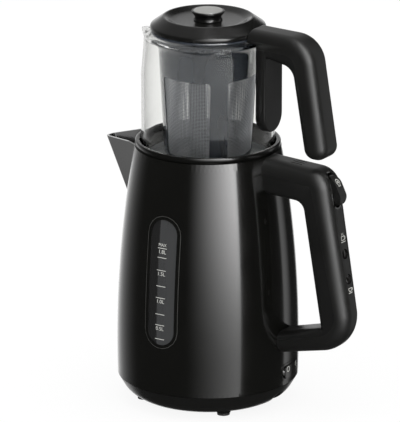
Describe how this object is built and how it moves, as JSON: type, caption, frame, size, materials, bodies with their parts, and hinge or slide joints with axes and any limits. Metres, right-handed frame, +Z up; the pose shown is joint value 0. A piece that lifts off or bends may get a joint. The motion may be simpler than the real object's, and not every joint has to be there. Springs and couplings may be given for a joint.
{
  "type": "automatic tea maker",
  "caption": "Cordless electric kettle on a round swivel base, with a glass teapot, strainer and knobbed lid stacked on its rim.",
  "frame": {"origin": "centre of the base, on the surface it stands on", "axes": "+Z up, +X towards the handles, -X towards the spouts, -Y towards the water level window"},
  "size_m": [0.2474, 0.158, 0.3452],
  "materials": {
    "gloss_case": "gloss",
    "satin_case": "satin",
    "dark_inner": "fine texture",
    "foot_rubber": "matt",
    "screw_steel": "zinc plated",
    "contact_brass": "bright",
    "window_smoke": "clear gloss",
    "heater_steel": "brushed",
    "element_metal": "cast",
    "silicone": "matt",
    "control_plastic": "moulded",
    "switch_plastic": "moulded",
    "mesh_steel": "woven",
    "lamp_lens": "gloss",
    "board_green": "lacquered",
    "wire_sleeve": "matt",
    "pot_glass": "clear",
    "filter_smoke": "tinted gloss",
    "knob_metal": "satin"
  },
  "bodies": {
    "base": {"base_shell": "satin_case", "base_bottom_plate": "dark_inner", "base_screws": "screw_steel", "base_feet": "foot_rubber", "cord_inlet_gland": "foot_rubber", "base_connector": "dark_inner", "base_contact_rings": "contact_brass", "base_contact_pin": "contact_brass"},
    "sleeve": {"connector_sleeve": "dark_inner"},
    "kettle": {"kettle_body_shell": "gloss_case", "window_bezel": "satin_case", "level_window": "window_smoke", "heating_plate": "heater_steel", "plate_seal": "silicone", "heating_element": "element_metal", "keep_warm_element": "element_metal", "control_unit": "control_plastic", "bimetal_discs": "contact_brass", "socket_contacts": "contact_brass", "kettle_bottom_cover": "dark_inner", "cover_screws": "screw_steel", "spout_filter_frame": "dark_inner", "spout_filter_mesh": "mesh_steel", "power_switch_bezel": "satin_case", "power_switch_body": "switch_plastic", "handle_outer_shell": "gloss_case", "handle_inner_cover": "satin_case", "handle_screws": "screw_steel", "mode_rocker_bezel": "satin_case", "mode_switch_body": "switch_plastic", "indicator_lenses": "lamp_lens", "led_board": "board_green", "wiring_loom": "wire_sleeve"},
    "mode_rocker": {"mode_rocker": "satin_case"},
    "power_rocker": {"power_rocker": "gloss_case"},
    "steam_lid": {"steam_lid": "gloss_case", "steam_lid_seal": "silicone"},
    "teapot": {"teapot_glass": "pot_glass", "teapot_handle_shell": "gloss_case", "teapot_handle_cover": "satin_case", "teapot_handle_screws": "screw_steel", "handle_bonding_pad": "silicone"},
    "tea_filter": {"filter_basket": "filter_smoke", "filter_mesh": "mesh_steel"},
    "teapot_lid": {"teapot_lid": "gloss_case", "lid_knob": "gloss_case", "lid_knob_cap": "knob_metal", "lid_knob_screw": "screw_steel"}
  },
  "joints": [
    {"name": "kettle_swivel", "type": "hinge", "parent": "base", "child": "sleeve", "pos_m": [0, 0, 0.0258], "axis": [0, 0, 1], "continuous": true},
    {"name": "kettle_lift", "type": "slide", "parent": "sleeve", "child": "kettle", "axis": [0, 0, 1], "range_m": [0, 0.05]},
    {"name": "mode_rocker_tilt", "type": "hinge", "parent": "kettle", "child": "mode_rocker", "pos_m": [0.12409, 0, 0.20412], "axis": [0, 1, 0], "range_deg": [0, 14]},
    {"name": "power_rocker_tilt", "type": "hinge", "parent": "kettle", "child": "power_rocker", "pos_m": [0.07543, 0.00926, 0.0335], "axis": [0, 0, 1], "range_deg": [-5, 5]},
    {"name": "steam_lid_lift", "type": "slide", "parent": "kettle", "child": "steam_lid", "axis": [0, 0, 1], "range_m": [0, 0.06]},
    {"name": "teapot_lift", "type": "slide", "parent": "steam_lid", "child": "teapot", "axis": [0, 0, 1], "range_m": [0, 0.06]},
    {"name": "filter_lift", "type": "slide", "parent": "teapot", "child": "tea_filter", "axis": [0, 0, 1], "range_m": [0, 0.13]},
    {"name": "lid_lift", "type": "slide", "parent": "tea_filter", "child": "teapot_lid", "axis": [0, 0, 1], "range_m": [0, 0.05]}
  ]
}
